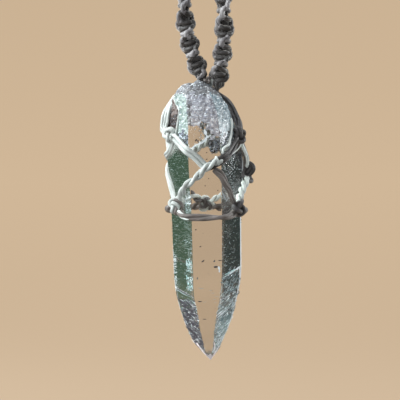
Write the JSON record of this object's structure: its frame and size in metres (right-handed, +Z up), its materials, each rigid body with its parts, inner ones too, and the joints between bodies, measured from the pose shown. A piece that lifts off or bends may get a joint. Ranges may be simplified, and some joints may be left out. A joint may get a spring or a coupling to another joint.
{
  "type": "macrame necklace",
  "caption": "Clear quartz point held tip down in a knotted cord net, on a closed neck strap of spiral half-knot braid.",
  "frame": {"origin": "where the strap hangs: the inside of its top bend, in the middle of the braid's width", "axes": "+Z up, -Y to the front of the stone, +X to the right seen from the front"},
  "size_m": [0.028, 0.0182, 0.3552],
  "materials": {
    "quartz": "clear, cloudy at the rough top",
    "waxed_cord": "waxed, slight sheen"
  },
  "bodies": {
    "root": {"crystal": "quartz", "crown_left": "waxed_cord", "crown_right": "waxed_cord", "crown_rear": "waxed_cord", "collar_knot_left": "waxed_cord", "collar_knot_right": "waxed_cord", "collar_knot_rear": "waxed_cord", "middle_knot_front": "waxed_cord", "middle_knot_right": "waxed_cord", "middle_knot_left": "waxed_cord", "girdle_knot_left": "waxed_cord", "girdle_knot_right": "waxed_cord", "girdle_knot_rear": "waxed_cord", "upper_leg_left_front": "waxed_cord", "upper_leg_left_back": "waxed_cord", "upper_leg_right_front": "waxed_cord", "upper_leg_right_back": "waxed_cord", "upper_leg_rear_right": "waxed_cord", "upper_leg_rear_left": "waxed_cord", "lower_leg_front_left": "waxed_cord", "lower_leg_front_right": "waxed_cord", "lower_leg_right_front": "waxed_cord", "lower_leg_right_rear": "waxed_cord", "lower_leg_left_front": "waxed_cord", "lower_leg_left_rear": "waxed_cord", "girdle_front": "waxed_cord", "girdle_right": "waxed_cord", "girdle_left": "waxed_cord", "top_knot": "waxed_cord", "strap_left": "waxed_cord", "strap_right": "waxed_cord"}
  },
  "joints": []
}
